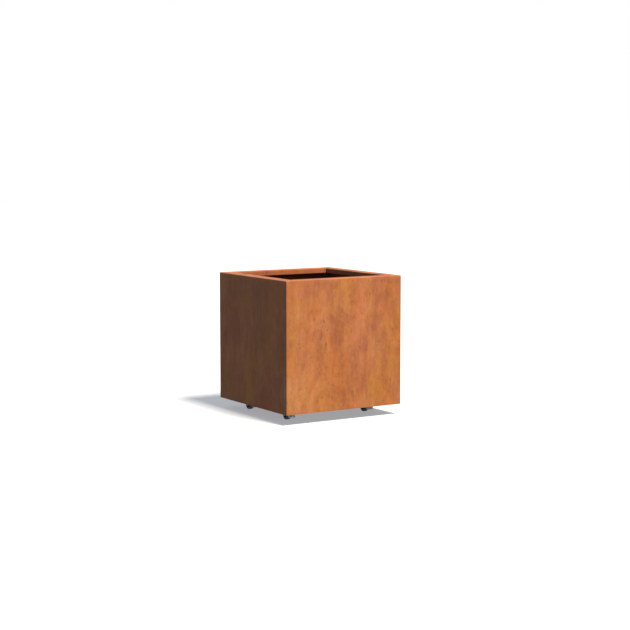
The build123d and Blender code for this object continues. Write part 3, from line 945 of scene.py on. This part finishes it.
def barTree():
    # round bars side by side between two points, lying along Y
    tree, socket, out = startTree("treadBars", [
        ("Count", "Int"), ("Bar Radius", "Float"), ("Bar Length", "Float"), ("Start", "Vector"),
        ("Finish Point", "Vector"), ("Finish", "Material")])
    ends = {"Count": socket["Count"], "Start Location": socket["Start"], "Offset": socket["Finish Point"]}
    line = step(tree, "GeometryNodeMeshLine", ends, mode="END_POINTS")
    bar = step(tree, "GeometryNodeMeshCylinder", {
        "Vertices": 10, "Radius": socket["Bar Radius"], "Depth": socket["Bar Length"]})
    laid = step(tree, "GeometryNodeTransform", {
        "Geometry": bar.outputs[0], "Rotation": (math.radians(90), 0, 0)})
    bars = step(tree, "GeometryNodeInstanceOnPoints", {
        "Points": line.outputs[0], "Instance": laid.outputs[0]})
    return endTree(tree, out, bars.outputs[0], socket["Finish"])


def pedalMesh(shape):
    # folded foot plate with raised bars, two ears on the pin and the brake shoe
    def fromPin(point):
        return (pinSpot[0] + point[0], pinSpot[1] + point[1])
    start, bend, nose = (fromPin(shape[label]) for label in ("start", "bend", "nose"))
    path = bentPath(start, bend, nose, shape["bendRadius"])
    foot = sidePlate("foot", ribbonLoop(path, shape["sheet"]), [], 0, 2 * shape["half"], shape["edge"])
    half = shape["sheet"] / 2
    ear = hullLoop([(*pinSpot, shape["boss"]), (*start, half), (*bend, half)], 48)
    hole = circleLoop(shape["hole"], pinSpot)
    across, thick = shape["half"] - shape["ear"] / 2, shape["ear"]
    ears = [sidePlate("ear", ear, [hole], side * across, thick, shape["edge"]) for side in (-1, 1)]
    # the shoe's foot is an arc just off the tread
    inner = axleSpot[1] + shape["shoeGap"]
    reach = math.degrees(math.asin(shape["shoeLength"] / 2 / inner))
    middle = shape["shoeAngle"]
    arc = arcPoints(axleSpot, inner, middle - reach, middle + reach, 8)
    out = Vector((math.cos(math.radians(middle)), math.sin(math.radians(middle))))
    aside = Vector((-out.y, out.x)) * shape["shoeLength"] / 2
    top = Vector(axleSpot) + out * (axleSpot[1] + shape["shoeDepth"])
    block = [tuple(top + aside), tuple(top - aside)] + arc
    shoe = sidePlate("shoe", block[::-1], [], 0, shape["shoeWidth"], shape["shoeEdge"])
    run = Vector(bend) - Vector(start)
    rise = Vector((run.y, -run.x)).normalized() * half
    first = Vector(start) + run * treadBars["Margin"] + rise
    last = Vector(bend) - run * treadBars["Margin"] + rise
    bars = grown("bars", bpy.data.meshes.new("bars"), barTree(), treadBars | {
        "Start": (first.x, 0, first.y), "Finish Point": (last.x, 0, last.y), "Finish": zincPlate})
    return softShade(joinMeshes("pedal", [foot, shoe, bars] + ears), 30)


pinShape = {
    "radius": 2 * mm, "half": 15.9 * mm, "gap": 0.3 * mm, "head": 1.2 * mm, "headRadius": 3.2 * mm,
    "headEdge": 0.25 * mm,
}


def pinMesh(shape):
    # rivet with a domed head at each end
    face, r, e = shape["half"] + shape["gap"], shape["headRadius"], shape["headEdge"]
    turns = [math.radians(i * 18) for i in range(1, 6)]
    head = [(0, face + shape["head"])]
    head += [(r * math.sin(t), face + e + (shape["head"] - e) * math.cos(t)) for t in turns]
    head += [(r, face), (shape["radius"], face)]
    outline = head + [(across, -along) for across, along in head[::-1]]
    mesh = lathe("pin", outline, 28, "Y")
    mesh.transform(Matrix.Translation((pinSpot[0], 0, pinSpot[1])))
    return softShade(mesh, 40)


axleTurn = Matrix.Translation((axleSpot[0], 0, axleSpot[1]))
axleBolt, axleNut = axleMeshes(axleShape)
balls = grown("balls", bpy.data.meshes.new("balls"), ballTree(), dict(ballRing, Finish=ballSteel))
fixedPieces = {
    "plate": (plateMesh(plateShape), zincPlate),
    "kingpin": (kingpinMesh(kingpinShape), zincPlate),
    "race_balls": (balls, ballSteel),
}
turnedPieces = {
    "fork": ("fork", forkMesh(forkShape), zincPlate),
    "axle_bolt": ("fork", axleBolt, zincPlate),
    "axle_nut": ("fork", axleNut, zincPlate),
    "pedal_pin": ("fork", pinMesh(pinShape), zincPlate),
    "wheel_hub": ("wheel", placed(hubMesh(hubShape), axleTurn), hubPlastic),
    "wheel_tyre": ("wheel", placed(tyreMesh(tyreShape), axleTurn), tyreRubber),
    "brake_pedal": ("brake", pedalMesh(pedalShape), zincPlate),
}
for corner in corners:
    for kind, (mesh, finish) in fixedPieces.items():
        addPiece(f"{corner}_{kind}", placed(mesh, castorPlace(corner, False)), "planter", finish)
    for kind, (body, mesh, finish) in turnedPieces.items():
        addPiece(f"{corner}_{kind}", placed(mesh, castorPlace(corner)), f"{corner}_{body}", finish)
print("castors built")

padShape = {"size": 76 * mm, "corner": 6 * mm, "hole": 3.3 * mm, "edge": 0.6 * mm}
padsLow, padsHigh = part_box("castor_pads")
padHoles = [circleLoop(padShape["hole"], spot) for spot in boltSpots]
pad = cutSheet("pad", roundedLoop(padShape["size"], padShape["size"], padShape["corner"]), padHoles,
               padsHigh.z - padsLow.z, padShape["edge"])
lift = Matrix.Translation((0, 0, (padsLow.z + padsHigh.z) / 2))
pads = joinMeshes("castorPads", [placed(pad, castorPlace(corner, False) @ lift) for corner in corners])
addPiece("castor_pads", softShade(pads, 30), "planter", trayRust)


def fastenerTree():
    # one shape stood on every point, each given its own turn
    tree, socket, out = startTree("fasteners", [
        ("Shape", "Object"), ("Largest Turn", "Float"), ("Seed", "Int"), ("Finish", "Material")])
    shape = step(tree, "GeometryNodeObjectInfo", {"Object": socket["Shape"], "As Instance": True})
    chance = step(tree, "FunctionNodeRandomValue", {"Seed": socket["Seed"]}, data_type="FLOAT")
    factors = {0: chance.outputs[1], 1: socket["Largest Turn"]}
    turn = step(tree, "ShaderNodeMath", factors, operation="MULTIPLY")
    angles = step(tree, "ShaderNodeCombineXYZ", {"Z": turn.outputs[0]})
    many = step(tree, "GeometryNodeInstanceOnPoints", {
        "Points": socket["Geometry"], "Instance": shape.outputs["Geometry"], "Rotation": angles.outputs[0]})
    return endTree(tree, out, many.outputs[0], socket["Finish"], False)


fastenerSizes = {
    "radius": 3 * mm, "corner": 5.8 * mm, "head": 4 * mm, "nut": 5 * mm, "pitch": 0.6 * mm,
    "threaded": 8 * mm, "sink": 0.5 * mm, "washer": 1.6 * mm, "washerRadius": 6 * mm,
    "washerGap": 0.3 * mm, "washerEdge": 0.25 * mm,
    "collarFoot": 4.5 * mm, "collarTop": 4.2 * mm, "collar": 0.3 * mm,
}
boltsLow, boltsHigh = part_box("castor_bolts")
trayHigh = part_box("floor_tray")[1]
boltPlaces = [castorPlace(corner, False) @ Vector((*spot, 0)) for corner in corners for spot in boltSpots]


def boltShape(sizes):
    head = hexHead("head", sizes["corner"], sizes["head"])
    head.transform(Matrix.Rotation(math.pi, 4, "X"))
    length = boltsHigh.z - boltsLow.z - sizes["head"]
    threadFrom = length - sizes["threaded"]
    rod = threadedRod("rod", sizes["radius"], -sizes["sink"], length, threadFrom, sizes["pitch"])
    return joinMeshes("bolt", [head, rod])


def washerShape(sizes):
    inner, outer = sizes["radius"] + sizes["washerGap"], sizes["washerRadius"]
    high, e = sizes["washer"], sizes["washerEdge"]
    ring = [(inner, 0), (outer - e, 0), (outer, e), (outer, high - e), (outer - e, high)]
    ring += [(inner + e, high), (inner, high - e)]
    return lathe("washer", ring + ring[:1], 32)


def nutShape(sizes):
    body = hexHead("nut", sizes["corner"], sizes["nut"])
    foot, top = sizes["nut"] - sizes["collar"], sizes["nut"] + sizes["collar"]
    outline = [(0, foot), (sizes["collarFoot"], foot), (sizes["collarTop"], top), (0, top)]
    collar = lathe("collar", outline, 32)
    return joinMeshes("nut", [body, collar])


spreadTree = fastenerTree()
washerTop = trayHigh.z + fastenerSizes["washer"]
for name, shape, level, seed in (
    ("castor_bolts", boltShape(fastenerSizes), boltsLow.z + fastenerSizes["head"], 3),
    ("castor_washers", washerShape(fastenerSizes), trayHigh.z, 5),
    ("castor_nuts", nutShape(fastenerSizes), washerTop, 9),
):
    pattern = bpy.data.objects.new(name, softShade(shape, 30))
    bpy.context.scene.collection.objects.link(pattern)
    places = meshFrom(name, [(p.x, p.y, level) for p in boltPlaces], [])
    mesh = grown(camel(name), places, spreadTree, {
        "Shape": pattern, "Largest Turn": math.pi / 3, "Seed": seed, "Finish": zincPlate})
    bpy.data.objects.remove(pattern)
    addPiece(name, mesh, "planter", zincPlate)
print("fasteners placed")


def beadTree():
    # weld bead along a path: overlapping drops, each a little different
    tree, socket, out = startTree("weldBead", [
        ("Pitch", "Float"), ("Bead Radius", "Float"), ("Drop Length", "Float"), ("Unevenness", "Float"),
        ("Seed", "Int"), ("Finish", "Material")])
    path = step(tree, "GeometryNodeMeshToCurve", {"Mesh": socket["Geometry"]})
    spacing = {"Curve": path.outputs[0], "Length": socket["Pitch"]}
    spaced = step(tree, "GeometryNodeResampleCurve", spacing, mode="LENGTH")
    drop = step(tree, "GeometryNodeMeshUVSphere", {
        "Segments": 8, "Rings": 5, "Radius": socket["Bead Radius"]})
    tangent = step(tree, "GeometryNodeInputTangent")
    turn = step(tree, "FunctionNodeAlignRotationToVector", {"Vector": tangent.outputs[0]}, axis="Z")
    low = step(tree, "ShaderNodeMath", {0: 1.0, 1: socket["Unevenness"]}, operation="SUBTRACT")
    size = step(tree, "FunctionNodeRandomValue", {"Seed": socket["Seed"]}, data_type="FLOAT")
    tree.links.new(low.outputs[0], size.inputs[2])
    size.inputs[3].default_value = 1.0
    factors = {0: size.outputs[1], 1: socket["Drop Length"]}
    along = step(tree, "ShaderNodeMath", factors, operation="MULTIPLY")
    scale = step(tree, "ShaderNodeCombineXYZ", {
        "X": size.outputs[1], "Y": size.outputs[1], "Z": along.outputs[0]})
    drops = step(tree, "GeometryNodeInstanceOnPoints", {
        "Points": spaced.outputs[0], "Instance": drop.outputs[0],
        "Rotation": turn.outputs[0], "Scale": scale.outputs[0]})
    return endTree(tree, out, drops.outputs[0], socket["Finish"])


def beadOf(pitch, radius, drop, unevenness, seed):
    labels = ("Pitch", "Bead Radius", "Drop Length", "Unevenness", "Seed")
    return dict(zip(labels, (pitch, radius, drop, unevenness, seed)))


beads = {
    "corner_welds": beadOf(1.7 * mm, 2.3 * mm, 0.75, 0.16, 11),
    "rim_welds": beadOf(1.3 * mm, 1.45 * mm, 0.8, 0.14, 17),
    "tray_welds": beadOf(1.6 * mm, 1.9 * mm, 0.8, 0.18, 23),
}
stitches = {"count": 3, "pitch": 200 * mm, "length": 40 * mm}
weldSink = {"corner": 0.5 * mm, "rimEnd": 4 * mm, "rim": 0.1 * mm, "trayIn": 0.9 * mm, "tray": 0.4 * mm}


def beadPaths(name):
    low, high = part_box(name)
    radius, sheet = beads[name]["Bead Radius"], wallShape["sheet"]
    if name == "corner_welds":
        x, y = high.x - weldSink["corner"], high.y - weldSink["corner"]
        return [((sx * x, sy * y, low.z + radius), (sx * x, sy * y, high.z - radius)) for sx, sy in signs]
    if name == "rim_welds":
        near = wallShape["rimWidth"] - sheet - weldSink["rimEnd"]
        far = (halfX - high.x) + radius
        level = high.z + weldSink["rim"]
        ends = [(halfX - inset, halfY - inset) for inset in (far, near)]
        return [tuple((sx * x, sy * y, level) for x, y in ends) for sx, sy in signs]
    lines = []
    half = stitches["length"] / 2 - radius
    for i in range(stitches["count"]):
        shift = (i - (stitches["count"] - 1) / 2) * stitches["pitch"]
        for side in (-1, 1):
            edge = side * (halfX - sheet - weldSink["trayIn"])
            level = high.z - weldSink["tray"]
            lines.append(((edge, shift - half, level), (edge, shift + half, level)))
            lines.append(((shift - half, edge, level), (shift + half, edge, level)))
    return lines


weldTree = beadTree()
for name, settings in beads.items():
    ends = beadPaths(name)
    path = bpy.data.meshes.new(name)
    lines = [(2 * i, 2 * i + 1) for i in range(len(ends))]
    path.from_pydata([point for pair in ends for point in pair], lines, [])
    mesh = grown(camel(name), path, weldTree, dict(settings, Finish=weldRust))
    addPiece(name, mesh, "planter", weldRust)
print("welds laid")

stageLook = {
    "floorSize": 30,
    "floorColour": (0.30, 0.30, 0.30),
    "floorGlow": 0.345,
    "glowColour": (0.97, 0.97, 1.0),
    "sky": 0.405,
    "skyTint": (0.94, 1.15, 1.36),
    "ground": 0.196,
    "sunStrength": 11.6,
    "sunFrom": (0.085, -0.515, 0.855),
    "sunAngle": 14.0,
    "sunColour": (1.0, 0.955, 0.84),
}
reach = stageLook["floorSize"]
floorPoints = [(-reach, -reach, 0), (reach, -reach, 0), (reach, reach, 0), (-reach, reach, 0)]
floorMesh = meshFrom("floor", floorPoints, [(0, 1, 2, 3)])
floor = bpy.data.objects.new("floor", floorMesh)
bpy.context.scene.collection.objects.link(floor)
floorMaterial, tree, shader, place = startMaterial("paleFloor")
shader.inputs["Base Color"].default_value = (*stageLook["floorColour"], 1)
shader.inputs["Roughness"].default_value = 0.9
shader.inputs["Specular IOR Level"].default_value = 0.1
shader.inputs["Emission Color"].default_value = (*stageLook["glowColour"], 1)
shader.inputs["Emission Strength"].default_value = stageLook["floorGlow"]
floorMesh.materials.append(floorMaterial)
floor.visible_diffuse = False

world = bpy.data.worlds.new("studio")
bpy.context.scene.world = world
world.use_nodes = True
tree = world.node_tree
background = tree.nodes["Background"]
height = tree.nodes.new("ShaderNodeSeparateXYZ")
tree.links.new(tree.nodes.new("ShaderNodeTexCoord").outputs["Generated"], height.inputs[0])
light = span(tree, height.outputs["Z"], -0.05, 0.05, stageLook["ground"], stageLook["sky"])
seen = tree.nodes.new("ShaderNodeLightPath").outputs["Is Camera Ray"]
strength = sums(tree, "MAXIMUM", light, seen)
tree.links.new(blended(tree, seen, stageLook["skyTint"], (1.0, 1.0, 1.0)), background.inputs["Color"])
tree.links.new(strength, background.inputs["Strength"])

sun = bpy.data.objects.new("sun", bpy.data.lights.new("sun", "SUN"))
sun.data.energy = stageLook["sunStrength"]
sun.data.angle = math.radians(stageLook["sunAngle"])
sun.data.color = stageLook["sunColour"]
sun.rotation_mode = "QUATERNION"
sun.rotation_quaternion = Vector(stageLook["sunFrom"]).to_track_quat("Z", "Y")
bpy.context.scene.collection.objects.link(sun)

viewpoint = {
    "azimuth": -31.95, "elevation": 6.0, "distance": 6.955, "lens": 87.08, "aside": 0.027, "height": 0.4422,
}
turn, tilt = math.radians(viewpoint["azimuth"]), math.radians(viewpoint["elevation"])
back = Vector((math.sin(turn) * math.cos(tilt), -math.cos(turn) * math.cos(tilt), math.sin(tilt)))
target = Vector((math.cos(turn), math.sin(turn), 0)) * viewpoint["aside"] + zUp * viewpoint["height"]
camera = bpy.data.objects.new("camera", bpy.data.cameras.new("camera"))
camera.data.lens = viewpoint["lens"]
camera.data.sensor_width = 36
camera.data.clip_end = 100
camera.location = target + back * viewpoint["distance"]
camera.rotation_mode = "QUATERNION"
camera.rotation_quaternion = (-back).to_track_quat("-Z", "Y")
bpy.context.scene.collection.objects.link(camera)
bpy.context.scene.camera = camera
bpy.context.scene.view_settings.view_transform = "Standard"
print("stage set")
